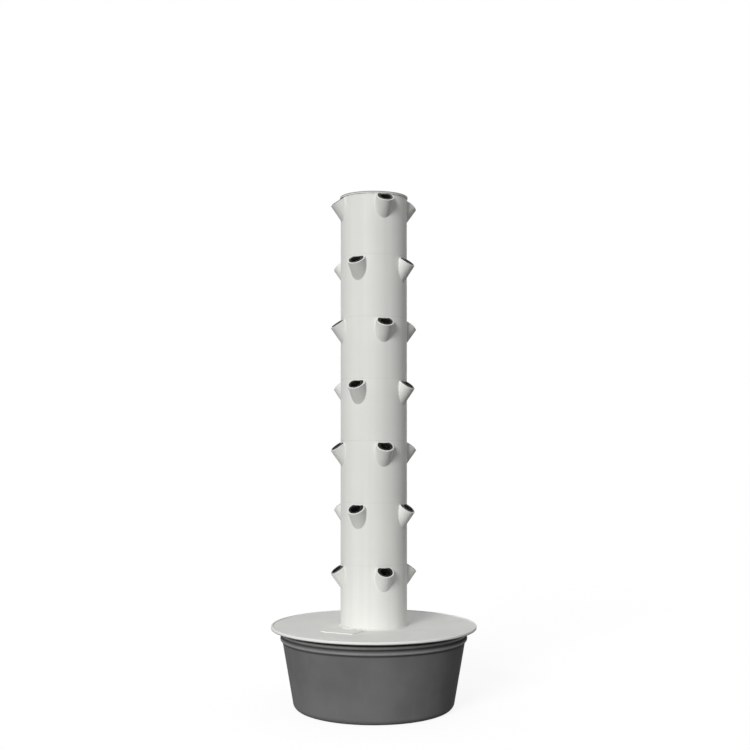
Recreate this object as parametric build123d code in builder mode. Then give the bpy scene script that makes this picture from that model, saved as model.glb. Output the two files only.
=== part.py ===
from build123d import *
import math
import os

# Hydroponic tower: a round reservoir with a wide lid, and a column of stacked sections
# whose tilted pockets hold net cups. A pump in the reservoir feeds a pipe up the middle.
# The origin is on the floor under the tower's axis, +Z is up, lengths are in millimetres.

# Reservoir
reservoir_height = 258.0
reservoir_base_radius = 260.5
reservoir_neck_radius = 298.5
reservoir_wall = 4.0
reservoir_floor = 5.0
reservoir_corner = 22.0
bead_height = 18.0
bead_depth = 7.0
bead_count = 2
rim_height = 3.0

# Lid
lid_overhang = 37.5
lid_plate = 5.0
lid_seat_height = 4.0
lid_seat_width = 9.0
lid_skirt_depth = 12.0
lid_skirt_wall = 3.5
lid_skirt_clearance = 0.6
lid_edge_width = 6.0
lid_edge_drop = 3.0
lid_edge_rise = 2.0
lid_edge_round = 2.6
socket_collar_width = 9.0
socket_collar_height = 3.0
socket_collar_round = 1.5

# Access hatch in the lid, turned to the left of the front
hatch_length = 118.0
hatch_width = 81.0
hatch_plate = 3.0
hatch_corner = 9.0
hatch_opening_corner = 5.5
hatch_overlap = 7.0
hatch_plug_depth = 5.0
hatch_plug_wall = 3.0
hatch_clearance = 0.6
hatch_tower_gap = 6.5
hatch_offset = 28.0
hatch_bearing = 225.0
hatch_edge_round = 1.5
finger_notch_length = 34.0
finger_notch_width = 10.0
finger_notch_depth = 1.4

# Tower tube and its spigots
tube_radius = 109.0
tube_wall = 4.0
spigot_wall = 3.0
spigot_length = 14.0
spigot_root = 6.0
spigot_clearance = 0.3
seam_chamfer = 0.4

# Tiers of pockets
tier_pitch = 200.0
tiers_per_section = 1
section_count = 6
pockets_per_tier = 4
base_section_height = 201.0
mouth_below_top = 17.0
pocket_tilt = 35.0
pocket_reach = 122.0
pocket_radius = 29.0
pocket_wall = 3.0
pocket_taper = 1.5
pocket_rim_thickness = 3.0
pocket_rim_round = 1.0
pocket_root_round = 3.0
pocket_hole_chamfer = 0.6

# Net cups
cup_lip_rest = 1.8
cup_lip_thickness = 2.0
cup_lip_round = 0.8
cup_lip_gap = 0.6
cup_radius = 18.0
cup_tube_gap = 0.4
cup_clearance = 0.5
cup_depth = 44.0
cup_taper = 6.0
cup_wall = 1.6
cup_slot_count = 6
cup_slot_width = 6.5
cup_slot_height = 24.0
cup_slot_top = 10.0
cup_floor_slot_length = 18.0
cup_floor_slot_width = 4.0

# Top cap
cap_plate = 2.5
cap_skirt_depth = 4.0
cap_skirt_wall = 2.2
cap_clearance = 0.3
cap_edge_round = 1.6
cap_recess_margin = 11.0
cap_recess_depth = 0.8

# Radial play of everything that is pushed together by hand and stays put
push_fit = 0.1

# Feed pipe, couplings and distributor
pipe_radius = 12.5
pipe_wall = 2.0
pipe_count = 3
pipe_top_below_cap = 41.0
coupling_wall = 3.0
coupling_length = 50.0
coupling_stop = 2.0
dish_radius = 60.0
dish_wall = 3.0
dish_rim_height = 18.0
dish_socket_depth = 22.0
dish_spout_height = 4.0
drip_hole_count = 12
drip_hole_radius = 2.5
drip_circle_radius = 49.0

# Pipe guide under the lid
guide_clearance = 0.4
guide_ring_wall = 4.5
guide_thickness = 8.0
guide_bar_width = 10.0
guide_drop = 10.0
guide_foot_width = 8.0

# Pump, lying along Y with its outlet under the pipe
pump_width = 64.0
pump_height = 70.0
pump_corner = 7.0
motor_length = 70.0
volute_length = 28.0
volute_wall = 4.0
chamber_radius = 26.0
inlet_radius = 10.0
outlet_boss_radius = 11.0
outlet_boss_height = 15.0
outlet_bore_radius = 8.0
strainer_length = 24.0
strainer_wall = 2.5
strainer_slot_count = 7
strainer_slot_width = 4.0
strainer_slot_pitch = 7.5
strainer_slot_height = 50.0
adapter_socket_depth = 30.0
adapter_shoulder = 5.0
shaft_radius = 1.5
shaft_seat = 5.0
shaft_running_clearance = 0.06
shaft_press_clearance = 0.02
rotor_radius = 12.4
rotor_length = 43.0
rotor_gap = 0.6
impeller_radius = 20.0
impeller_plate = 3.0
impeller_hub_radius = 5.0
impeller_blade_count = 6
impeller_blade_root = 1.5
impeller_tip_inset = 0.6
impeller_blade_height = 13.0
impeller_blade_thickness = 2.0
impeller_end_gap = 1.0
bearing_bar_width = 4.0
bearing_boss_radius = 4.0
foot_radius = 11.0
foot_height = 8.0
foot_cup_depth = 3.0
foot_cup_wall = 2.0
foot_stem_radius = 4.0
foot_stem_length = 4.0
foot_inset = 13.0
foot_cup_taper = 30.0
gland_radius = 8.0
gland_length = 14.0
gland_bore_radius = 3.6
gland_seat_depth = 4.0
gland_chamfer = 2.4

# Cord grommet in the lid, behind the tower
grommet_inset = 48.5
grommet_hole_radius = 9.0
grommet_flange = 4.0
grommet_flange_thickness = 2.5
grommet_bore_radius = 4.0

# Levels and radii that follow from the sizes above
neck_height = reservoir_height - rim_height - bead_count * bead_height
lid_radius = reservoir_neck_radius + lid_overhang
lid_bottom = reservoir_height + lid_seat_height
lid_top = lid_bottom + lid_plate
tower_bottom = lid_top + socket_collar_height
section_height = tiers_per_section * tier_pitch
tower_top = tower_bottom + base_section_height + section_count * section_height
tube_bore = tube_radius - tube_wall
spigot_radius = tube_bore - spigot_clearance
socket_collar_radius = tube_bore + socket_collar_width
hatch_distance = socket_collar_radius + hatch_tower_gap + hatch_width / 2
grommet_distance = reservoir_neck_radius - grommet_inset
pocket_bore = pocket_radius - pocket_wall
mouth_to_tube = (pocket_reach - tube_radius) / math.cos(math.radians(pocket_tilt))
root_toe = pocket_root_round / math.tan(math.radians(45 + pocket_tilt / 2))
cup_offset = cup_radius + cup_tube_gap + root_toe - mouth_to_tube
pocket_hole = cup_offset + cup_radius + cup_clearance
cup_lip_radius = pocket_hole + cup_lip_rest
pump_bottom = reservoir_floor + foot_height
pump_axis_height = pump_bottom + pump_height / 2
pump_top = pump_bottom + pump_height
volute_front = -volute_length / 2
volute_back = volute_length / 2
motor_back = volute_back + motor_length
pipe_bottom = pump_top + outlet_boss_height + adapter_shoulder
pipe_top = tower_top - pipe_top_below_cap
pipe_length = (pipe_top - pipe_bottom - (pipe_count - 1) * coupling_stop) / pipe_count
fitting_bore = pipe_radius + push_fit
fitting_radius = fitting_bore + coupling_wall

os.makedirs("parts", exist_ok=True)


def keep(piece, name):
    """Name a finished piece and write it out."""
    piece.label = name
    export_step(piece, "parts/" + name + ".step")


def wall_radius(height):
    """Outer radius of the reservoir's flared wall at a height."""
    flare = (reservoir_neck_radius - reservoir_base_radius) / neck_height
    return reservoir_base_radius + flare * height


def pocket_bearings(tier):
    """Bearings of a tier's pockets: each tier is turned by half a step from the one below."""
    step = 360.0 / pockets_per_tier
    turn = step / 2 if tier % 2 == 0 else 0.0
    return [turn + step * place for place in range(pockets_per_tier)]


def mouth_height(tier):
    """Height of the mouth centres of a tier, counted from 1 at the bottom."""
    first = tower_bottom + base_section_height - mouth_below_top
    return first + (tier - 1) * tier_pitch


def mouth_plane(tier, bearing):
    """Plane of a pocket's mouth: Z leaves the pocket, X points outwards and down."""
    tilt = math.radians(pocket_tilt)
    turn = math.radians(bearing)
    out = Vector(math.cos(turn), math.sin(turn), 0)
    centre = out * pocket_reach + Vector(0, 0, mouth_height(tier))
    across = out * math.cos(tilt) - Vector(0, 0, math.sin(tilt))
    leave = out * math.sin(tilt) + Vector(0, 0, math.cos(tilt))
    return Plane(origin=centre, x_dir=across, z_dir=leave)


def pocket_depth():
    """Length along a pocket's axis that brings its lowest edge inside the tube's bore."""
    tilt = math.radians(pocket_tilt)
    tip = pocket_reach + pocket_radius * math.cos(tilt)
    closing = math.sin(tilt) + math.tan(math.radians(pocket_taper)) * math.cos(tilt)
    return (tip - tube_bore + tube_wall) / closing


def pocket_profile_plane(mouth):
    """Plane through a pocket's axis, X across the mouth and Y out of it."""
    return Plane(origin=mouth.origin, x_dir=mouth.x_dir, z_dir=-mouth.y_dir)


def reservoir():
    """Flared tub with two rolled beads under its rim."""
    inner_floor = wall_radius(reservoir_floor) - reservoir_wall
    with BuildPart() as tub:
        with BuildSketch(Plane.XZ) as profile:
            with BuildLine():
                Polyline((0, reservoir_floor), (0, 0), (reservoir_base_radius, 0),
                         (reservoir_neck_radius, neck_height))
                for bead in range(bead_count):
                    low = neck_height + bead * bead_height
                    ThreePointArc((reservoir_neck_radius, low),
                                  (reservoir_neck_radius + bead_depth, low + bead_height / 2),
                                  (reservoir_neck_radius, low + bead_height))
                inside = reservoir_neck_radius - reservoir_wall
                Polyline((reservoir_neck_radius, reservoir_height - rim_height),
                         (reservoir_neck_radius, reservoir_height),
                         (inside, reservoir_height), (inside, reservoir_height - rim_height))
                for bead in range(bead_count):
                    low = neck_height + bead * bead_height
                    ThreePointArc((inside, low), (inside + bead_depth, low + bead_height / 2),
                                  (inside, low + bead_height))
                Polyline((inside, neck_height), (inner_floor, reservoir_floor), (0, reservoir_floor))
            make_face()
            floor_corner = profile.vertices().filter_by_position(Axis.Y, reservoir_floor, reservoir_floor)
            fillet(floor_corner.sort_by(Axis.X)[-1], reservoir_corner - reservoir_wall)
            fillet(profile.vertices().group_by(Axis.Y)[0].sort_by(Axis.X)[-1], reservoir_corner)
        revolve(axis=Axis.Z)
    keep(tub.part, "reservoir")


def hatch_plane(height):
    """Plane of the hatch, X along its length and Y towards the tower."""
    turn = math.radians(hatch_bearing)
    out = Vector(math.cos(turn), math.sin(turn), 0)
    side = Vector(out.Y, -out.X, 0)
    centre = out * hatch_distance + side * hatch_offset + Vector(0, 0, height)
    return Plane(origin=centre, x_dir=side, z_dir=(0, 0, 1))


def reservoir_lid():
    """Wide round lid: rolled edge, skirt inside the tub's rim, socket collar for the tower."""
    skirt_out = reservoir_neck_radius - reservoir_wall - lid_skirt_clearance
    skirt_in = skirt_out - lid_skirt_wall
    seat_out = skirt_out + lid_seat_width
    edge_in = lid_radius - lid_edge_width
    with BuildPart() as lid:
        with BuildSketch(Plane.XZ) as profile:
            with BuildLine():
                Polyline((tube_bore, lid_bottom), (skirt_in, lid_bottom),
                         (skirt_in, reservoir_height - lid_skirt_depth),
                         (skirt_out, reservoir_height - lid_skirt_depth),
                         (skirt_out, reservoir_height), (seat_out, reservoir_height),
                         (seat_out, lid_bottom), (edge_in, lid_bottom),
                         (edge_in, lid_bottom - lid_edge_drop), (lid_radius, lid_bottom - lid_edge_drop),
                         (lid_radius, lid_top + lid_edge_rise), (edge_in, lid_top + lid_edge_rise),
                         (edge_in, lid_top), (socket_collar_radius, lid_top),
                         (socket_collar_radius, tower_bottom), (tube_bore, tower_bottom), close=True)
            make_face()
            rim = profile.vertices().filter_by_position(Axis.X, lid_radius, lid_radius)
            fillet(rim, lid_edge_round)
            top_corners = profile.vertices().filter_by_position(Axis.Y, tower_bottom, tower_bottom)
            fillet(top_corners.sort_by(Axis.X)[-1], socket_collar_round)
        revolve(axis=Axis.Z)
        with BuildSketch(hatch_plane(lid_top)):
            RectangleRounded(hatch_length - 2 * hatch_overlap, hatch_width - 2 * hatch_overlap,
                             hatch_opening_corner)
        extrude(amount=-lid_plate, mode=Mode.SUBTRACT)
        with BuildSketch(Plane.XY.offset(lid_top)):
            with Locations((0, grommet_distance)):
                Circle(grommet_hole_radius)
        extrude(amount=-lid_plate, mode=Mode.SUBTRACT)
    keep(lid.part, "reservoir_lid")


def access_hatch():
    """Lift-out cover over the lid's opening, with a plug frame below and a finger notch."""
    plug_length = hatch_length - 2 * hatch_overlap - 2 * hatch_clearance
    plug_width = hatch_width - 2 * hatch_overlap - 2 * hatch_clearance
    with BuildPart() as hatch:
        with BuildSketch(hatch_plane(lid_top)):
            RectangleRounded(hatch_length, hatch_width, hatch_corner)
        extrude(amount=hatch_plate)
        fillet(hatch.faces().sort_by(Axis.Z)[-1].edges(), hatch_edge_round)
        with BuildSketch(hatch_plane(lid_top)):
            RectangleRounded(plug_length, plug_width, hatch_opening_corner)
            RectangleRounded(plug_length - 2 * hatch_plug_wall, plug_width - 2 * hatch_plug_wall,
                             hatch_opening_corner - hatch_plug_wall / 2, mode=Mode.SUBTRACT)
        extrude(amount=-hatch_plug_depth)
        with BuildSketch(hatch_plane(lid_top + hatch_plate)):
            with Locations((0, -hatch_width / 2 + hatch_overlap + finger_notch_width / 2)):
                SlotOverall(finger_notch_length, finger_notch_width)
        extrude(amount=-finger_notch_depth, mode=Mode.SUBTRACT)
    keep(hatch.part, "access_hatch")


def tower_section(name, bottom, height, tiers):
    """Tube with moulded pockets and, at its foot, a spigot that drops into the piece below."""
    mouths = [mouth_plane(tier, bearing) for tier in tiers for bearing in pocket_bearings(tier)]
    depth = pocket_depth()
    narrowing = math.tan(math.radians(pocket_taper))
    with BuildPart() as section:
        with BuildSketch(Plane.XY.offset(bottom)):
            Circle(tube_radius)
        extrude(amount=height)
        chamfer(section.edges().filter_by(GeomType.CIRCLE), seam_chamfer)
        for mouth in mouths:
            with BuildSketch(pocket_profile_plane(mouth)) as pocket:
                with BuildLine():
                    Polyline((0, 0), (0, -depth), (pocket_radius - depth * narrowing, -depth),
                             (pocket_radius, 0), close=True)
                make_face()
                fillet(pocket.vertices().sort_by(Axis.X)[-1], pocket_rim_round)
            revolve(axis=Axis(mouth.origin, mouth.z_dir))
        roots = section.edges().filter_by(GeomType.BSPLINE)
        fillet(roots.filter_by(lambda edge: edge.length > pocket_radius), pocket_root_round)
        for mouth in mouths:
            with BuildSketch(pocket_profile_plane(mouth)):
                with BuildLine():
                    Polyline((0, 0), (0, -depth), (pocket_bore - depth * narrowing, -depth),
                             (pocket_bore - pocket_rim_thickness * narrowing, -pocket_rim_thickness),
                             (pocket_hole, -pocket_rim_thickness), (pocket_hole, -pocket_hole_chamfer),
                             (pocket_hole + pocket_hole_chamfer, 0), close=True)
                make_face()
            revolve(axis=Axis(mouth.origin, mouth.z_dir), mode=Mode.SUBTRACT)
        with BuildSketch(Plane.XY.offset(bottom)):
            Circle(tube_bore)
        extrude(amount=height, mode=Mode.SUBTRACT)
        with BuildSketch(Plane.XZ):
            with BuildLine():
                inside = spigot_radius - spigot_wall
                Polyline((inside, bottom - spigot_length), (spigot_radius, bottom - spigot_length),
                         (spigot_radius, bottom), (tube_bore + tube_wall / 2, bottom),
                         (tube_bore + tube_wall / 2, bottom + spigot_root + spigot_wall),
                         (tube_bore, bottom + spigot_root + spigot_wall), (inside, bottom + spigot_root),
                         close=True)
            make_face()
        revolve(axis=Axis.Z)
    keep(section.part, name)


def net_cup(name, mouth):
    """Slotted cup whose lip rests on the pocket's rim and is trimmed where it faces the tube."""
    top = Plane(origin=mouth.from_local_coords(Vector(cup_offset, 0, cup_lip_thickness)),
                x_dir=mouth.x_dir, z_dir=mouth.z_dir)
    length = cup_lip_thickness + cup_depth
    floor_top = length - cup_wall
    slot_middle = cup_lip_thickness + cup_slot_top + cup_slot_height / 2
    with BuildPart() as cup:
        with BuildSketch(mouth):
            Circle(cup_lip_radius)
        extrude(amount=cup_lip_thickness)
        fillet(cup.edges().sort_by(Axis(mouth.origin, mouth.z_dir))[-1], cup_lip_round)
        with BuildSketch(Plane.XY.offset(mouth.origin.Z - cup_lip_radius)):
            Circle(tube_radius + root_toe + cup_lip_gap)
        extrude(amount=2 * cup_lip_radius, mode=Mode.SUBTRACT)
        with BuildSketch(top):
            Circle(cup_radius)
        extrude(amount=-length, taper=cup_taper)
        with BuildSketch(top):
            Circle(cup_radius - cup_wall)
        extrude(amount=-floor_top, taper=cup_taper, mode=Mode.SUBTRACT)
        with Locations(top.offset(-slot_middle)):
            with PolarLocations(cup_radius, cup_slot_count, start_angle=180.0 / cup_slot_count):
                Box(cup_radius, cup_slot_width, cup_slot_height, mode=Mode.SUBTRACT)
        with BuildSketch(top.offset(-floor_top)):
            Rectangle(cup_floor_slot_length, cup_floor_slot_width)
            Rectangle(cup_floor_slot_width, cup_floor_slot_length)
        extrude(amount=-cup_wall, mode=Mode.SUBTRACT)
    keep(cup.part, name)


def top_cap():
    """Cap with a short skirt over the tube's end and a plug inside it."""
    skirt_in = tube_radius + cap_clearance
    skirt_out = skirt_in + cap_skirt_wall
    plug_in = spigot_radius - spigot_wall
    top = tower_top + cap_plate
    recess = skirt_out - cap_recess_margin
    with BuildPart() as cap:
        with BuildSketch(Plane.XZ) as profile:
            with BuildLine():
                Polyline((0, tower_top), (plug_in, tower_top), (plug_in, tower_top - spigot_length),
                         (spigot_radius, tower_top - spigot_length), (spigot_radius, tower_top),
                         (skirt_in, tower_top), (skirt_in, tower_top - cap_skirt_depth),
                         (skirt_out, tower_top - cap_skirt_depth), (skirt_out, top),
                         (recess + cap_recess_depth, top), (recess, top - cap_recess_depth),
                         (0, top - cap_recess_depth), close=True)
            make_face()
            fillet(profile.vertices().group_by(Axis.Y)[-1].sort_by(Axis.X)[-1], cap_edge_round)
        revolve(axis=Axis.Z)
    keep(cap.part, "top_cap")


def feed_pipe(name, bottom):
    """One length of the pipe up the middle of the tower."""
    with BuildPart() as pipe:
        with BuildSketch(Plane.XY.offset(bottom)):
            Circle(pipe_radius)
            Circle(pipe_radius - pipe_wall, mode=Mode.SUBTRACT)
        extrude(amount=pipe_length)
    keep(pipe.part, name)


def pipe_coupling(name, middle):
    """Sleeve that joins two lengths of pipe against an inner stop."""
    with BuildPart() as coupling:
        with BuildSketch(Plane.XY.offset(middle - coupling_length / 2)):
            Circle(fitting_radius)
            Circle(fitting_bore, mode=Mode.SUBTRACT)
        extrude(amount=coupling_length)
        with BuildSketch(Plane.XY.offset(middle - coupling_stop / 2)):
            Circle(fitting_radius)
            Circle(pipe_radius - pipe_wall, mode=Mode.SUBTRACT)
        extrude(amount=coupling_stop)
    keep(coupling.part, name)


def distributor_head():
    """Dish on the pipe's end: water wells over its spout and rains through the drip holes."""
    socket_bottom = pipe_top - dish_socket_depth
    floor_top = pipe_top + dish_wall
    spout_top = floor_top + dish_spout_height
    rim_top = pipe_top + dish_rim_height
    with BuildPart() as dish:
        with BuildSketch(Plane.XZ):
            with BuildLine():
                Polyline((fitting_bore, socket_bottom), (fitting_radius, socket_bottom),
                         (fitting_radius, pipe_top), (dish_radius, pipe_top),
                         (dish_radius, rim_top), (dish_radius - dish_wall, rim_top),
                         (dish_radius - dish_wall, floor_top), (fitting_radius, floor_top),
                         (fitting_radius, spout_top), (pipe_radius - pipe_wall, spout_top),
                         (pipe_radius - pipe_wall, pipe_top), (fitting_bore, pipe_top), close=True)
            make_face()
        revolve(axis=Axis.Z)
        with BuildSketch(Plane.XY.offset(floor_top)):
            with PolarLocations(drip_circle_radius, drip_hole_count):
                Circle(drip_hole_radius)
        extrude(amount=-dish_wall, mode=Mode.SUBTRACT)
    keep(dish.part, "distributor_head")


def pipe_guide():
    """Bridge under the lid's socket whose ring keeps the pipe on the tower's axis."""
    bore = pipe_radius + guide_clearance
    ring = bore + guide_ring_wall
    reach = tube_bore + guide_foot_width
    top = lid_bottom - guide_drop
    with BuildPart() as guide:
        with BuildSketch(Plane.XY.offset(top)):
            Rectangle(guide_bar_width, 2 * reach)
            Circle(ring)
            Circle(bore, mode=Mode.SUBTRACT)
        extrude(amount=-guide_thickness)
        with BuildSketch(Plane.XY.offset(top)):
            for side in (-1, 1):
                with Locations((0, side * (reach - guide_foot_width / 2))):
                    Rectangle(guide_bar_width, guide_foot_width)
        extrude(amount=guide_drop)
    keep(guide.part, "pipe_guide")


def pump_outline(place):
    """Rounded outline of the pump, square to its shaft, at a place along Y."""
    with BuildSketch(Plane.XZ.offset(-place)) as outline:
        with Locations((0, pump_axis_height)):
            RectangleRounded(pump_width, pump_height, pump_corner)
    return outline.sketch


def pump_housing():
    """Potted motor housing with a well for the rotor and seats for the feet and the cord gland."""
    well_end = volute_back + rotor_length + 2 * rotor_gap + impeller_plate
    with BuildPart() as housing:
        extrude(pump_outline(volute_back), amount=-motor_length)
        fillet(housing.faces().sort_by(Axis.Y)[-1].edges(), pump_corner / 2)
        with BuildSketch(Plane.XZ.offset(-volute_back)):
            with Locations((0, pump_axis_height)):
                Circle(rotor_radius + rotor_gap)
        extrude(amount=volute_back - well_end, mode=Mode.SUBTRACT)
        with BuildSketch(Plane.XZ.offset(-well_end)):
            with Locations((0, pump_axis_height)):
                Circle(shaft_radius + shaft_press_clearance)
        extrude(amount=-shaft_seat, mode=Mode.SUBTRACT)
        with BuildSketch(Plane.XZ.offset(-motor_back)):
            with Locations((0, pump_top - 2 * gland_radius)):
                Circle(gland_radius + push_fit)
        extrude(amount=gland_seat_depth, mode=Mode.SUBTRACT)
        with BuildSketch(Plane.XY.offset(pump_bottom)):
            with Locations(*foot_places()[2:]):
                Circle(foot_stem_radius + push_fit)
        extrude(amount=foot_stem_length, mode=Mode.SUBTRACT)
    keep(housing.part, "pump_housing")


def foot_places():
    """Places of the four feet: two under the volute cover, then two under the motor."""
    side = pump_width / 2 - foot_inset
    rows = (0.0, motor_back - foot_inset)
    return [(side * sign, row) for row in rows for sign in (-1, 1)]


def pump_volute_cover():
    """Front of the pump: impeller chamber, inlet with the shaft's front bearing, outlet boss."""
    inlet_wall_back = volute_front + volute_wall
    with BuildPart() as cover:
        extrude(pump_outline(volute_front), amount=-volute_length)
        with BuildSketch(Plane.XY.offset(pump_top - volute_wall)):
            Circle(outlet_boss_radius)
        extrude(amount=volute_wall + outlet_boss_height)
        with BuildSketch(Plane.XZ.offset(-volute_back)):
            with Locations((0, pump_axis_height)):
                Circle(chamber_radius)
        extrude(amount=volute_back - inlet_wall_back, mode=Mode.SUBTRACT)
        with BuildSketch(Plane.XY.offset(pump_axis_height)):
            Circle(outlet_bore_radius)
        extrude(amount=pump_height / 2 + outlet_boss_height, mode=Mode.SUBTRACT)
        with BuildSketch(Plane.XZ.offset(-volute_front)):
            with Locations((0, pump_axis_height)):
                Circle(inlet_radius)
        extrude(amount=-volute_wall, mode=Mode.SUBTRACT)
        with BuildSketch(Plane.XZ.offset(-volute_front)):
            with Locations((0, pump_axis_height)):
                Rectangle(2 * inlet_radius + volute_wall, bearing_bar_width)
                Circle(bearing_boss_radius)
                Circle(shaft_radius + shaft_press_clearance, mode=Mode.SUBTRACT)
        extrude(amount=-volute_wall)
        with BuildSketch(Plane.XY.offset(pump_bottom)):
            with Locations(*foot_places()[:2]):
                Circle(foot_stem_radius + push_fit)
        extrude(amount=foot_stem_length, mode=Mode.SUBTRACT)
    keep(cover.part, "pump_volute_cover")


def pump_strainer():
    """Slotted cage over the inlet."""
    front = volute_front - strainer_length
    with BuildPart() as strainer:
        extrude(pump_outline(front), amount=-strainer_length)
        with BuildSketch(Plane.XZ.offset(-volute_front)):
            with Locations((0, pump_axis_height)):
                RectangleRounded(pump_width - 2 * strainer_wall, pump_height - 2 * strainer_wall,
                                 pump_corner - strainer_wall)
        extrude(amount=strainer_length - strainer_wall, mode=Mode.SUBTRACT)
        with BuildSketch(Plane.XZ.offset(-front)):
            with Locations((0, pump_axis_height)):
                with GridLocations(strainer_slot_pitch, 0, strainer_slot_count, 1):
                    SlotOverall(strainer_slot_height, strainer_slot_width, rotation=90)
        extrude(amount=-strainer_wall, mode=Mode.SUBTRACT)
    keep(strainer.part, "pump_strainer")


def pump_impeller():
    """Magnet rotor with a bladed impeller in one moulding, bored for the shaft."""
    blade_front = volute_front + volute_wall + impeller_end_gap
    plate_front = blade_front + impeller_blade_height
    blade_back = plate_front + impeller_plate / 2
    blade_tip = impeller_radius - impeller_tip_inset
    blade_length = blade_tip - impeller_hub_radius + impeller_blade_root
    rotor_front = volute_back + impeller_plate
    rotor_back = rotor_front + rotor_length
    axis_at = (0, pump_axis_height)
    with BuildPart() as impeller:
        with BuildSketch(Plane.XZ.offset(-plate_front)):
            with Locations(axis_at):
                Circle(impeller_radius)
        extrude(amount=-impeller_plate)
        with BuildSketch(Plane.XZ.offset(-blade_front)):
            with Locations(axis_at):
                Circle(impeller_hub_radius)
        extrude(amount=blade_front - rotor_back)
        with BuildSketch(Plane.XZ.offset(-rotor_front)):
            with Locations(axis_at):
                Circle(rotor_radius)
        extrude(amount=-rotor_length)
        with BuildSketch(Plane.XZ.offset(-blade_front)):
            with Locations(axis_at):
                with PolarLocations(blade_tip - blade_length / 2, impeller_blade_count):
                    Rectangle(blade_length, impeller_blade_thickness)
        extrude(amount=blade_front - blade_back)
        with BuildSketch(Plane.XZ.offset(-blade_front)):
            with Locations(axis_at):
                Circle(shaft_radius + shaft_running_clearance)
        extrude(amount=blade_front - rotor_back, mode=Mode.SUBTRACT)
    keep(impeller.part, "pump_impeller")


def pump_shaft():
    """Fixed steel pin that the impeller turns on."""
    front = volute_front
    back = volute_back + rotor_length + 2 * rotor_gap + impeller_plate + shaft_seat
    with BuildPart() as shaft:
        with BuildSketch(Plane.XZ.offset(-front)):
            with Locations((0, pump_axis_height)):
                Circle(shaft_radius)
        extrude(amount=front - back)
    keep(shaft.part, "pump_shaft")


def pump_outlet_adapter():
    """Sleeve from the pump's outlet boss to the feed pipe."""
    boss_bore = outlet_boss_radius + push_fit
    boss_top = pump_top + outlet_boss_height
    with BuildPart() as adapter:
        with BuildSketch(Plane.XZ):
            with BuildLine():
                Polyline((boss_bore, pump_top), (fitting_radius, pump_top),
                         (fitting_radius, pipe_bottom + adapter_socket_depth),
                         (fitting_bore, pipe_bottom + adapter_socket_depth),
                         (fitting_bore, pipe_bottom), (outlet_bore_radius, pipe_bottom),
                         (outlet_bore_radius, boss_top), (boss_bore, boss_top), close=True)
            make_face()
        revolve(axis=Axis.Z)
    keep(adapter.part, "pump_outlet_adapter")


def pump_feet():
    """Four soft suction feet on stems under the pump."""
    with BuildPart() as feet:
        with BuildSketch(Plane.XY.offset(reservoir_floor)):
            with Locations(*foot_places()):
                Circle(foot_radius)
        extrude(amount=foot_height)
        with BuildSketch(Plane.XY.offset(pump_bottom)):
            with Locations(*foot_places()):
                Circle(foot_stem_radius)
        extrude(amount=foot_stem_length)
        with BuildSketch(Plane.XY.offset(reservoir_floor)):
            with Locations(*foot_places()):
                Circle(foot_radius - foot_cup_wall)
        extrude(amount=foot_cup_depth, taper=foot_cup_taper, mode=Mode.SUBTRACT)
    keep(feet.part, "pump_feet")


def pump_cable_gland():
    """Gland at the back of the motor where the power cord enters."""
    with BuildPart() as gland:
        with BuildSketch(Plane.XZ.offset(gland_seat_depth - motor_back)):
            with Locations((0, pump_top - 2 * gland_radius)):
                Circle(gland_radius)
        extrude(amount=-gland_length)
        chamfer(gland.faces().sort_by(Axis.Y)[-1].edges(), gland_chamfer)
        with BuildSketch(Plane.XZ.offset(gland_seat_depth - motor_back - gland_length)):
            with Locations((0, pump_top - 2 * gland_radius)):
                Circle(gland_bore_radius)
        extrude(amount=gland_length - gland_seat_depth, mode=Mode.SUBTRACT)
    keep(gland.part, "pump_cable_gland")


def cable_grommet():
    """Soft grommet in the lid for the pump's cord."""
    neck = grommet_hole_radius - push_fit
    flange = grommet_hole_radius + grommet_flange
    with BuildPart() as grommet:
        with BuildSketch(Plane.XY.offset(lid_bottom)):
            with Locations((0, grommet_distance)):
                Circle(neck)
        extrude(amount=lid_plate)
        for level, step in ((lid_top, grommet_flange_thickness), (lid_bottom, -grommet_flange_thickness)):
            with BuildSketch(Plane.XY.offset(level)):
                with Locations((0, grommet_distance)):
                    Circle(flange)
            extrude(amount=step)
        with BuildSketch(Plane.XY.offset(lid_bottom - grommet_flange_thickness)):
            with Locations((0, grommet_distance)):
                Circle(grommet_bore_radius)
        extrude(amount=lid_plate + 2 * grommet_flange_thickness, mode=Mode.SUBTRACT)
    keep(grommet.part, "cable_grommet")


reservoir()
reservoir_lid()
access_hatch()
cable_grommet()
pipe_guide()

tower_section("base_section", tower_bottom, base_section_height, [1])
for section in range(section_count):
    first_tier = 2 + section * tiers_per_section
    tower_section("tower_section_" + str(section + 1),
                  tower_bottom + base_section_height + section * section_height, section_height,
                  range(first_tier, first_tier + tiers_per_section))
top_cap()
for tier in range(1, 2 + section_count * tiers_per_section):
    for place, bearing in enumerate(pocket_bearings(tier)):
        net_cup("net_cup_t" + str(tier) + "_" + str(place + 1), mouth_plane(tier, bearing))

for pipe, name in enumerate(("lower", "middle", "upper")):
    feed_pipe("feed_pipe_" + name, pipe_bottom + pipe * (pipe_length + coupling_stop))
for joint, name in enumerate(("lower", "upper")):
    end = pipe_bottom + (joint + 1) * pipe_length + joint * coupling_stop
    pipe_coupling("pipe_coupling_" + name, end + coupling_stop / 2)
distributor_head()

pump_housing()
pump_volute_cover()
pump_strainer()
pump_impeller()
pump_shaft()
pump_outlet_adapter()
pump_feet()
pump_cable_gland()
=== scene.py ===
import math

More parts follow.
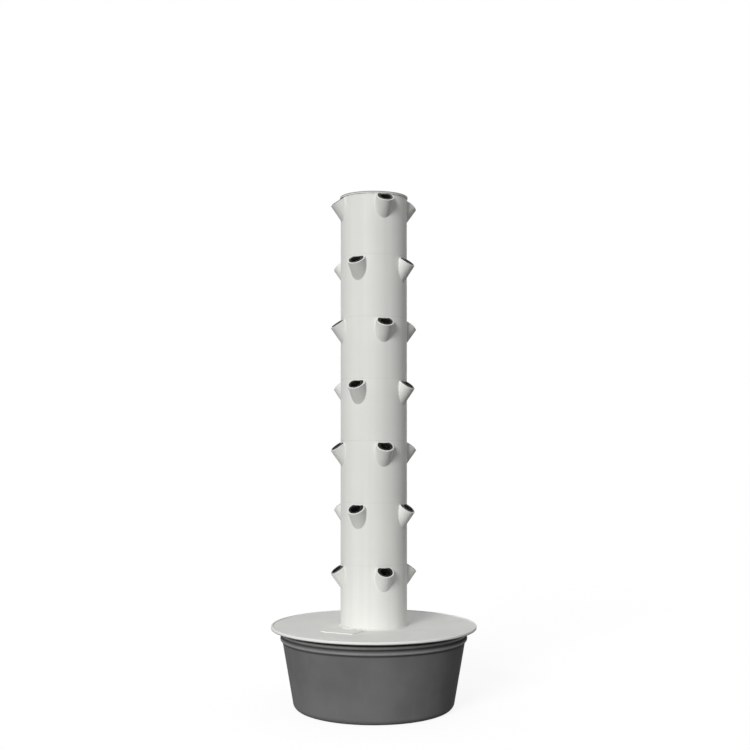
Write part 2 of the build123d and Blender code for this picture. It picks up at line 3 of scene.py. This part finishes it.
import bpy
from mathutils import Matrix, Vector


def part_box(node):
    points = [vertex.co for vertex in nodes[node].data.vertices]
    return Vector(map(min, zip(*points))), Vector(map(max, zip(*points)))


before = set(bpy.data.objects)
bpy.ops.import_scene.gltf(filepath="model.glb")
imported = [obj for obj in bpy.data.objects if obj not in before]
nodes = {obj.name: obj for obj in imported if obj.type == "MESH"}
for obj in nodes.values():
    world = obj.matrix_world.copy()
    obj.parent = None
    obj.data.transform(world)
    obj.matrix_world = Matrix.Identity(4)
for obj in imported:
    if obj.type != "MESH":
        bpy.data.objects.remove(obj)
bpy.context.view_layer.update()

# Hydroponic tower: finishes, floor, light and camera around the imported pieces.
# Lengths are in metres, angles in degrees, and colours are linear.

# Levels and widths that the finishes follow
spigot_length = 0.014
seam_half_width = 0.0011
tower_sections = [name for name in nodes if name.startswith("tower_section_")]
seam_heights = [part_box(name)[0].z + spigot_length for name in tower_sections]
cap_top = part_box("top_cap")[1].z
cap_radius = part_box("top_cap")[1].x
lid_edge_width = 0.006
lid_edge_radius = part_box("reservoir_lid")[1].x - lid_edge_width
lid_edge_bottom = 0.259
tub_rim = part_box("reservoir")[1].z
bead_crests = [tub_rim - drop for drop in (0.0135, 0.0315)]
crest_half_width = 0.0055
bead_grooves = [tub_rim - drop for drop in (0.001, 0.0225, 0.0405)]
groove_half_width = 0.0045

# Camera, solved from the photograph: its place round the tower, its aim and its lens
camera_bearing = -17.276
camera_distance = 3.8205
camera_height = 0.888
camera_pitch = 1.287
camera_yaw = -0.059
camera_lens = 55.713
camera_sensor = 36.0
camera_shift = 0.0457

# Lamps, each turned round the tower from the camera's side and raised above the floor
key_turn = -25.0
key_rise = 22.0
key_spread = 24.0
key_strength = 2.25
back_turn = 180.0
back_rise = 0.0
back_spread = 20.0
back_strength = 1.0
lamp_colour = (1.0, 0.995, 0.98)
lamp_distance = 5.0

# Surroundings and floor
surroundings_strength = 0.39
surroundings_colour = (0.98, 1.0, 1.0, 1.0)
backdrop_white = (1.0, 1.0, 1.0, 1.0)
floor_size = 60.0
floor_bounce = (0.10, 0.10, 0.10, 1.0)
floor_shaded = (0.20, 0.20, 0.20, 1.0)
floor_glow = (0.87, 0.87, 0.87, 1.0)


def start_finish(name, specular):
    """New finish with its shader, and the piece's own coordinates in metres."""
    finish = bpy.data.materials.new(name)
    finish.use_nodes = True
    tree = finish.node_tree
    shader = tree.nodes["Principled BSDF"]
    shader.inputs["Specular IOR Level"].default_value = specular
    place = tree.nodes.new("ShaderNodeTexCoord").outputs["Object"]
    return finish, tree, shader, place


def stretched(tree, place, scale):
    """Coordinates scaled along each axis, for streaks, drawn lines and ground marks."""
    mapping = tree.nodes.new("ShaderNodeMapping")
    mapping.inputs["Scale"].default_value = scale
    tree.links.new(place, mapping.inputs["Vector"])
    return mapping.outputs["Vector"]


def clouds(tree, place, scale=1.0, detail=3.0, roughness=0.5, distortion=0.0):
    """Soft noise with this many cells to a unit of its coordinates."""
    noise = tree.nodes.new("ShaderNodeTexNoise")
    noise.inputs["Scale"].default_value = scale
    noise.inputs["Detail"].default_value = detail
    noise.inputs["Roughness"].default_value = roughness
    noise.inputs["Distortion"].default_value = distortion
    tree.links.new(place, noise.inputs["Vector"])
    return noise.outputs["Fac"]


def spread(tree, value, low, high, to_low=0.0, to_high=1.0):
    """Value between low and high, laid out softly between to_low and to_high."""
    ranged = tree.nodes.new("ShaderNodeMapRange")
    ranged.interpolation_type = "SMOOTHSTEP"
    ranged.inputs["From Min"].default_value = low
    ranged.inputs["From Max"].default_value = high
    ranged.inputs["To Min"].default_value = to_low
    ranged.inputs["To Max"].default_value = to_high
    tree.links.new(value, ranged.inputs["Value"])
    return ranged.outputs["Result"]


def arithmetic(tree, operation, first, second=None):
    """One sum on one or two values, either of which may be a plain number."""
    node = tree.nodes.new("ShaderNodeMath")
    node.operation = operation
    for socket, value in zip(node.inputs, (first, second)):
        if value is None:
            continue
        if isinstance(value, (int, float)):
            socket.default_value = value
        else:
            tree.links.new(value, socket)
    return node.outputs["Value"]


def part_of(tree, value, share):
    """A share of a value, which may be a plain number or another value."""
    return arithmetic(tree, "MULTIPLY", value, share)


def tint(tree, share, first, second):
    """Colour between first and second; either may be a plain colour or another tint."""
    mix = tree.nodes.new("ShaderNodeMix")
    mix.data_type = "RGBA"
    tree.links.new(share, mix.inputs["Factor"])
    for socket, colour in ((mix.inputs[6], first), (mix.inputs[7], second)):
        if isinstance(colour, tuple):
            socket.default_value = (*colour, 1.0)
        else:
            tree.links.new(colour, socket)
    return mix.outputs[2]


def relief(tree, shader, heights):
    """Bumps from several heights, each a (value, depth in metres) pair, one laid on the other."""
    normal = None
    for value, depth in heights:
        bump = tree.nodes.new("ShaderNodeBump")
        bump.inputs["Strength"].default_value = 1.0
        bump.inputs["Distance"].default_value = depth
        tree.links.new(value, bump.inputs["Height"])
        if normal is not None:
            tree.links.new(normal, bump.inputs["Normal"])
        normal = bump.outputs["Normal"]
    tree.links.new(normal, shader.inputs["Normal"])


def height_of(tree, place):
    """Height above the floor."""
    split = tree.nodes.new("ShaderNodeSeparateXYZ")
    tree.links.new(place, split.inputs["Vector"])
    return split.outputs["Z"]


def distance_of(tree, place):
    """Distance from the tower's axis."""
    split = tree.nodes.new("ShaderNodeSeparateXYZ")
    tree.links.new(place, split.inputs["Vector"])
    across = arithmetic(tree, "MULTIPLY", split.outputs["X"], split.outputs["X"])
    along = arithmetic(tree, "MULTIPLY", split.outputs["Y"], split.outputs["Y"])
    return arithmetic(tree, "SQRT", arithmetic(tree, "ADD", across, along))


def band(tree, height, level, half_width):
    """1 at a level, falling to 0 at half a width above and below it."""
    away = arithmetic(tree, "ABSOLUTE", arithmetic(tree, "SUBTRACT", height, level))
    return spread(tree, away, 0.0, half_width, to_low=1.0, to_high=0.0)


def bands(tree, height, levels, half_width):
    """The strongest of several bands."""
    strongest = None
    for level in levels:
        one = band(tree, height, level, half_width)
        strongest = one if strongest is None else arithmetic(tree, "MAXIMUM", strongest, one)
    return strongest


def tower_plastic():
    """Pale moulded tower plastic: clouding, faint streaks and lines, dusty joints, painted shade along the
    cap edge.
    """
    pale = (0.812, 0.818, 0.788)
    clouded = (0.782, 0.787, 0.759)
    streak_grey = (0.745, 0.750, 0.724)
    line_grey = (0.735, 0.738, 0.708)
    joint_dust = (0.36, 0.355, 0.33)
    cap_edge_shade_grey = (0.25, 0.25, 0.24)
    finish, tree, shader, place = start_finish("tower_plastic", specular=0.16)
    clouding = spread(tree, clouds(tree, place, scale=7.0, detail=4.0), 0.32, 0.68)
    colour = tint(tree, clouding, pale, clouded)
    streaks = clouds(tree, stretched(tree, place, (42.0, 42.0, 0.7)), detail=2.0)
    colour = tint(tree, spread(tree, streaks, 0.38, 0.66, to_high=0.5), colour, streak_grey)
    lines = clouds(tree, stretched(tree, place, (120.0, 120.0, 3.0)), detail=2.0)
    colour = tint(tree, spread(tree, lines, 0.55, 0.80, to_high=0.25), colour, line_grey)
    height = height_of(tree, place)
    joints = bands(tree, height, seam_heights, seam_half_width)
    colour = tint(tree, part_of(tree, joints, 0.15), colour, joint_dust)
    # Painted shade: a dark grey line along the top cap's upper edge, standing in for the shade line at its
    # rim.
    near_top = spread(tree, height, cap_top - 0.005, cap_top - 0.002)
    near_edge = spread(tree, distance_of(tree, place), cap_radius - 0.004, cap_radius - 0.002)
    cap_edge = part_of(tree, near_top, near_edge)
    colour = tint(tree, part_of(tree, cap_edge, 0.85), colour, cap_edge_shade_grey)
    tree.links.new(colour, shader.inputs["Base Color"])
    wipes = clouds(tree, place, scale=26.0, detail=5.0, roughness=0.6, distortion=0.8)
    tree.links.new(spread(tree, wipes, 0.35, 0.70, to_low=0.46, to_high=0.58), shader.inputs["Roughness"])
    skin = clouds(tree, place, scale=750.0, detail=2.0)
    relief(tree, shader, ((lines, 0.00010), (skin, 0.00003)))
    return finish


def lid_plastic():
    """Greyer pale plastic of the lid: stippled skin, smudges, a painted highlight along the edge and painted
    shade on the edge's underside.
    """
    pale = (0.792, 0.797, 0.774)
    clouded = (0.746, 0.750, 0.728)
    smudge_grey = (0.63, 0.63, 0.605)
    edge_highlight_white = (0.880, 0.884, 0.868)
    underside_shade = (0.10, 0.10, 0.10)
    finish, tree, shader, place = start_finish("lid_plastic", specular=0.20)
    clouding = spread(tree, clouds(tree, place, scale=9.0, detail=4.0), 0.30, 0.70)
    colour = tint(tree, clouding, pale, clouded)
    smears = clouds(tree, place, scale=17.0, detail=6.0, roughness=0.62, distortion=1.4)
    smudges = spread(tree, smears, 0.56, 0.74)
    colour = tint(tree, part_of(tree, smudges, 0.30), colour, smudge_grey)
    # Painted highlight: the lid's rolled edge is painted paler all round, for the bright line along its rim.
    edge = spread(tree, distance_of(tree, place), lid_edge_radius - 0.001, lid_edge_radius + 0.001)
    colour = tint(tree, edge, colour, edge_highlight_white)
    height = height_of(tree, place)
    # Painted shade: the lowest few millimetres of the lid's rolled edge are painted dark, for the shadow
    # line under the lid.
    under_shade = spread(tree, height, lid_edge_bottom + 0.0015, lid_edge_bottom + 0.0045, to_low=0.9, to_high=0.0)
    colour = tint(tree, part_of(tree, under_shade, edge), colour, underside_shade)
    tree.links.new(colour, shader.inputs["Base Color"])
    tree.links.new(spread(tree, smudges, 0.0, 1.0, to_low=0.58, to_high=0.46), shader.inputs["Roughness"])
    waves = clouds(tree, place, scale=12.0, detail=2.0)
    stipple = clouds(tree, place, scale=1300.0, detail=2.0)
    relief(tree, shader, ((waves, 0.0004), (stipple, 0.00006)))
    return finish


def tub_plastic():
    """Charcoal tub plastic: eroded grain, cloudy tone, painted shade in the grooves and on the rim under the
    lid, bead crests lighter, partly rubbed wear and partly painted highlight.
    """
    charcoal = (0.184, 0.184, 0.185)
    clouded = (0.148, 0.148, 0.149)
    run_grey = (0.195, 0.195, 0.195)
    groove_shade_colour = (0.050, 0.050, 0.050)
    under_lid_shade_black = (0.012, 0.012, 0.012)
    rubbed_and_highlight_grey = (0.360, 0.360, 0.360)
    finish, tree, shader, place = start_finish("tub_plastic", specular=0.04)
    clouding = spread(tree, clouds(tree, place, scale=6.0, detail=5.0), 0.30, 0.70)
    colour = tint(tree, clouding, charcoal, clouded)
    runs = clouds(tree, stretched(tree, place, (34.0, 34.0, 2.5)), detail=3.0)
    colour = tint(tree, spread(tree, runs, 0.52, 0.78, to_high=0.35), colour, run_grey)
    height = height_of(tree, place)
    # Painted shade: the grooves between the beads and just under the rim are darkened towards black.
    groove_shade = bands(tree, height, bead_grooves, groove_half_width)
    colour = tint(tree, part_of(tree, groove_shade, 0.75), colour, groove_shade_colour)
    # Painted shade: the tub's rim under the lid's overhang is painted near-black, standing in for the lid's
    # shadow there.
    under_lid_shade = spread(tree, height, tub_rim - 0.012, tub_rim - 0.006, to_high=0.9)
    colour = tint(tree, under_lid_shade, colour, under_lid_shade_black)
    # Bead crests lighter: partly rubbed wear, partly a painted highlight along the crests. The crests also
    # get a little coat and lower roughness.
    crests = bands(tree, height, bead_crests, crest_half_width)
    wear = clouds(tree, place, scale=60.0, detail=5.0, roughness=0.65)
    rubbed_and_highlight = part_of(tree, crests, spread(tree, wear, 0.30, 0.70, to_low=0.75))
    colour = tint(tree, part_of(tree, rubbed_and_highlight, 0.8), colour, rubbed_and_highlight_grey)
    tree.links.new(colour, shader.inputs["Base Color"])
    tree.links.new(spread(tree, rubbed_and_highlight, 0.0, 1.0, to_low=0.80, to_high=0.60), shader.inputs["Roughness"])
    tree.links.new(part_of(tree, crests, 0.2), shader.inputs["Coat Weight"])
    shader.inputs["Coat Roughness"].default_value = 0.42
    waves = clouds(tree, place, scale=25.0, detail=2.0)
    grain = clouds(tree, place, scale=900.0, detail=3.0, roughness=0.6)
    relief(tree, shader, ((waves, 0.0003), (grain, 0.00014)))
    return finish


def cup_plastic():
    """Black net cups: satin moulded plastic with a greyer bloom."""
    black = (0.008, 0.008, 0.008)
    bloom_grey = (0.022, 0.022, 0.021)
    finish, tree, shader, place = start_finish("cup_plastic", specular=0.18)
    bloom = spread(tree, clouds(tree, place, scale=70.0, detail=5.0, roughness=0.6), 0.45, 0.75)
    tree.links.new(tint(tree, bloom, black, bloom_grey), shader.inputs["Base Color"])
    tree.links.new(spread(tree, bloom, 0.0, 1.0, to_low=0.40, to_high=0.56), shader.inputs["Roughness"])
    skin = clouds(tree, place, scale=1100.0, detail=2.0)
    relief(tree, shader, ((skin, 0.00004),))
    return finish


def pipe_plastic():
    """White extruded pipe with faint lines along it."""
    white = (0.82, 0.82, 0.80)
    line_grey = (0.74, 0.74, 0.72)
    finish, tree, shader, place = start_finish("pipe_plastic", specular=0.45)
    lines = clouds(tree, stretched(tree, place, (420.0, 420.0, 4.0)), detail=2.0)
    colour = tint(tree, spread(tree, lines, 0.35, 0.70), white, line_grey)
    tree.links.new(colour, shader.inputs["Base Color"])
    wipes = clouds(tree, place, scale=30.0)
    tree.links.new(spread(tree, wipes, 0.3, 0.7, to_low=0.28, to_high=0.42), shader.inputs["Roughness"])
    relief(tree, shader, ((lines, 0.00008),))
    return finish


def pump_plastic():
    """Black pump housing with a grained skin."""
    black = (0.026, 0.026, 0.028)
    clouded = (0.046, 0.046, 0.048)
    finish, tree, shader, place = start_finish("pump_plastic", specular=0.42)
    clouding = spread(tree, clouds(tree, place, scale=32.0, detail=4.0), 0.35, 0.70)
    tree.links.new(tint(tree, clouding, black, clouded), shader.inputs["Base Color"])
    tree.links.new(spread(tree, clouding, 0.0, 1.0, to_low=0.42, to_high=0.56), shader.inputs["Roughness"])
    grain = clouds(tree, place, scale=1600.0, detail=3.0)
    relief(tree, shader, ((grain, 0.00008),))
    return finish


def impeller_plastic():
    """Blue-grey impeller moulding with a cloudy, partly polished skin."""
    blue = (0.045, 0.085, 0.150)
    clouded = (0.070, 0.110, 0.165)
    finish, tree, shader, place = start_finish("impeller_plastic", specular=0.45)
    clouding = spread(tree, clouds(tree, place, scale=60.0, detail=4.0), 0.35, 0.70)
    tree.links.new(tint(tree, clouding, blue, clouded), shader.inputs["Base Color"])
    tree.links.new(spread(tree, clouding, 0.0, 1.0, to_low=0.28, to_high=0.46), shader.inputs["Roughness"])
    skin = clouds(tree, place, scale=1400.0, detail=2.0)
    relief(tree, shader, ((skin, 0.00004),))
    return finish


def soft_rubber():
    """Matt black rubber of the feet, gland and grommet, with pale dust."""
    black = (0.020, 0.020, 0.020)
    dust_grey = (0.075, 0.073, 0.070)
    finish, tree, shader, place = start_finish("soft_rubber", specular=0.25)
    dust = spread(tree, clouds(tree, place, scale=120.0, detail=6.0, roughness=0.65), 0.50, 0.80)
    tree.links.new(tint(tree, part_of(tree, dust, 0.6), black, dust_grey), shader.inputs["Base Color"])
    tree.links.new(spread(tree, dust, 0.0, 1.0, to_low=0.68, to_high=0.86), shader.inputs["Roughness"])
    grain = clouds(tree, place, scale=1800.0, detail=3.0)
    relief(tree, shader, ((grain, 0.00006),))
    return finish


def shaft_steel():
    """Ground steel pin with marks around it."""
    dark = (0.56, 0.57, 0.58)
    bright = (0.68, 0.68, 0.67)
    finish, tree, shader, place = start_finish("shaft_steel", specular=0.5)
    shader.inputs["Metallic"].default_value = 1.0
    marks = clouds(tree, stretched(tree, place, (60.0, 3000.0, 60.0)), detail=3.0)
    tree.links.new(tint(tree, marks, dark, bright), shader.inputs["Base Color"])
    tree.links.new(spread(tree, marks, 0.3, 0.7, to_low=0.20, to_high=0.36), shader.inputs["Roughness"])
    relief(tree, shader, ((marks, 0.00002),))
    return finish


def dress(names, finish):
    """Give the named pieces a finish."""
    for name in names:
        slots = nodes[name].data.materials
        slots.clear()
        slots.append(finish)


def named(*starts):
    """Pieces whose names start in one of these ways."""
    return [name for name in nodes if name.startswith(starts)]


def seen_rays(tree):
    """1 for what the camera, a reflection or a clear piece sees, 0 for light that falls on the tower."""
    path = tree.nodes.new("ShaderNodeLightPath")
    seen = arithmetic(tree, "MAXIMUM", path.outputs["Is Camera Ray"], path.outputs["Is Glossy Ray"])
    return arithmetic(tree, "MAXIMUM", seen, path.outputs["Is Transmission Ray"])


def studio_floor():
    """Pale floor that shows white and keeps the tower's soft shadow."""
    bpy.ops.object.select_all(action="DESELECT")
    bpy.ops.mesh.primitive_plane_add(size=floor_size, location=(0, 0, 0))
    floor = bpy.context.object
    floor.name = "studio_floor"
    finish = bpy.data.materials.new("floor_white")
    finish.use_nodes = True
    tree = finish.node_tree
    tree.nodes.remove(tree.nodes["Principled BSDF"])
    around = tree.nodes.new("ShaderNodeBsdfDiffuse")
    around.inputs["Color"].default_value = floor_bounce
    shaded = tree.nodes.new("ShaderNodeBsdfDiffuse")
    shaded.inputs["Color"].default_value = floor_shaded
    glow = tree.nodes.new("ShaderNodeEmission")
    glow.inputs["Color"].default_value = floor_glow
    white = tree.nodes.new("ShaderNodeAddShader")
    tree.links.new(shaded.outputs[0], white.inputs[0])
    tree.links.new(glow.outputs[0], white.inputs[1])
    choice = tree.nodes.new("ShaderNodeMixShader")
    tree.links.new(seen_rays(tree), choice.inputs["Fac"])
    tree.links.new(around.outputs[0], choice.inputs[1])
    tree.links.new(white.outputs[0], choice.inputs[2])
    tree.links.new(choice.outputs[0], tree.nodes["Material Output"].inputs["Surface"])
    floor.data.materials.append(finish)


def surroundings():
    """Even grey light from all round, behind a backdrop that shows white."""
    world = bpy.data.worlds.new("studio")
    world.use_nodes = True
    tree = world.node_tree
    around = tree.nodes["Background"]
    around.inputs["Color"].default_value = surroundings_colour
    around.inputs["Strength"].default_value = surroundings_strength
    white = tree.nodes.new("ShaderNodeBackground")
    white.inputs["Color"].default_value = backdrop_white
    choice = tree.nodes.new("ShaderNodeMixShader")
    tree.links.new(seen_rays(tree), choice.inputs["Fac"])
    tree.links.new(around.outputs[0], choice.inputs[1])
    tree.links.new(white.outputs[0], choice.inputs[2])
    tree.links.new(choice.outputs[0], tree.nodes["World Output"].inputs["Surface"])
    bpy.context.scene.world = world


def soft_lamp(name, strength, width, turn, rise, glossy):
    """Soft lamp, turned round the tower from the camera's side; without gloss it leaves no shine."""
    lamp = bpy.data.lights.new(name, "SUN")
    lamp.energy = strength
    lamp.angle = math.radians(width)
    lamp.color = lamp_colour
    holder = bpy.data.objects.new(name, lamp)
    bpy.context.scene.collection.objects.link(holder)
    bearing = math.radians(camera_bearing + turn)
    upward = math.sin(math.radians(rise))
    level = math.cos(math.radians(rise))
    towards = Vector((math.sin(bearing) * level, -math.cos(bearing) * level, upward))
    holder.location = towards * lamp_distance
    holder.rotation_mode = "QUATERNION"
    holder.rotation_quaternion = (-towards).to_track_quat("-Z", "Y")
    holder.visible_glossy = glossy


def photo_camera():
    """Camera at the photograph's viewing angle, a little left of the front."""
    lens = bpy.data.cameras.new("photo_camera")
    lens.sensor_width = camera_sensor
    lens.lens = camera_lens
    lens.shift_y = camera_shift
    camera = bpy.data.objects.new("photo_camera", lens)
    bpy.context.scene.collection.objects.link(camera)
    bearing = math.radians(camera_bearing)
    across = camera_distance * math.sin(bearing)
    along = -camera_distance * math.cos(bearing)
    camera.location = (across, along, camera_height)
    tilt = math.radians(90.0 + camera_pitch)
    heading = math.radians(camera_bearing + camera_yaw)
    camera.rotation_euler = (tilt, 0.0, heading)
    bpy.context.scene.camera = camera


dress(["base_section", *tower_sections, "top_cap"], tower_plastic())
dress(["reservoir_lid", "access_hatch", "pipe_guide", "distributor_head"], lid_plastic())
dress(["reservoir"], tub_plastic())
dress(named("net_cup_"), cup_plastic())
dress(named("feed_pipe_", "pipe_coupling_"), pipe_plastic())
dress(["pump_housing", "pump_volute_cover", "pump_strainer", "pump_outlet_adapter"], pump_plastic())
dress(["pump_impeller"], impeller_plastic())
dress(["pump_shaft"], shaft_steel())
dress(["pump_feet", "pump_cable_gland", "cable_grommet"], soft_rubber())

studio_floor()
photo_camera()
surroundings()
soft_lamp("key", key_strength, key_spread, key_turn, key_rise, glossy=True)
soft_lamp("back_light", back_strength, back_spread, back_turn, back_rise, glossy=False)
bpy.context.scene.view_settings.view_transform = "Standard"
